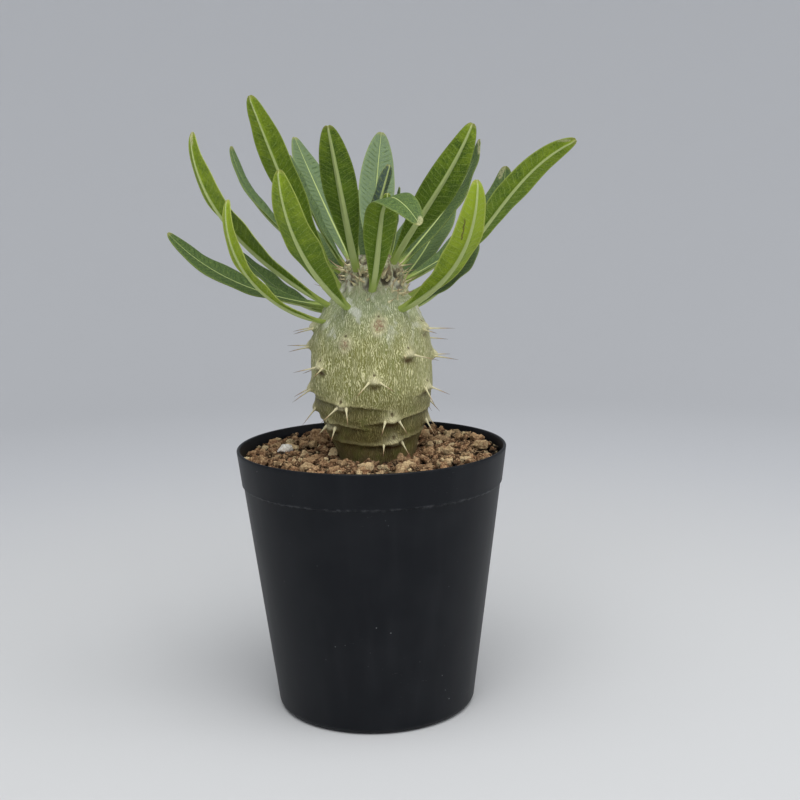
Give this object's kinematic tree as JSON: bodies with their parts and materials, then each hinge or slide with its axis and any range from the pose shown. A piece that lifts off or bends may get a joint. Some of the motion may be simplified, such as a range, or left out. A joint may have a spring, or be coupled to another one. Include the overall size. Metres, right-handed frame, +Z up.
{
  "type": "potted pachypodium",
  "caption": "Young pachypodium with a thorny barrel-shaped stem and a crown of long leaves, in a round black nursery pot of granular soil.",
  "frame": {"origin": "middle of the pot's flat base, on the surface that the pot stands on", "axes": "+Z up, -Y towards the front of the picture's view, +X to the viewer's right"},
  "size_m": [0.1528, 0.1278, 0.2365],
  "materials": {
    "pot_plastic": "black moulded polypropylene, satin, with faint scuffs and dust",
    "potting_mix": null,
    "white_stone": null,
    "pale_stone": null,
    "stem_skin": "olive living bark with fine pale upright wrinkles and a waxy bloom near the crown",
    "leaf_blade": "satin green leaf with a pale midrib and fine side veins"
  },
  "bodies": {
    "root": {"pot": "pot_plastic", "soil": "potting_mix", "stone_white": "white_stone", "stone_tan": "pale_stone", "stone_pale_1": "pale_stone", "stone_pale_2": "pale_stone", "stone_pale_3": "pale_stone", "caudex": "stem_skin", "leaf_01": "leaf_blade", "leaf_02": "leaf_blade", "leaf_03": "leaf_blade", "leaf_04": "leaf_blade", "leaf_05": "leaf_blade", "leaf_06": "leaf_blade", "leaf_07": "leaf_blade", "leaf_08": "leaf_blade", "leaf_09": "leaf_blade", "leaf_10": "leaf_blade", "leaf_11": "leaf_blade", "leaf_12": "leaf_blade", "leaf_13": "leaf_blade", "leaf_14": "leaf_blade", "leaf_15": "leaf_blade", "leaf_16": "leaf_blade", "leaf_17": "leaf_blade", "leaf_18": "leaf_blade", "leaf_19": "leaf_blade", "leaf_20": "leaf_blade", "leaf_21": "leaf_blade", "leaf_22": "leaf_blade", "leaf_23": "leaf_blade", "leaf_24": "leaf_blade", "leaf_25": "leaf_blade", "leaf_26": "leaf_blade"}
  },
  "joints": []
}
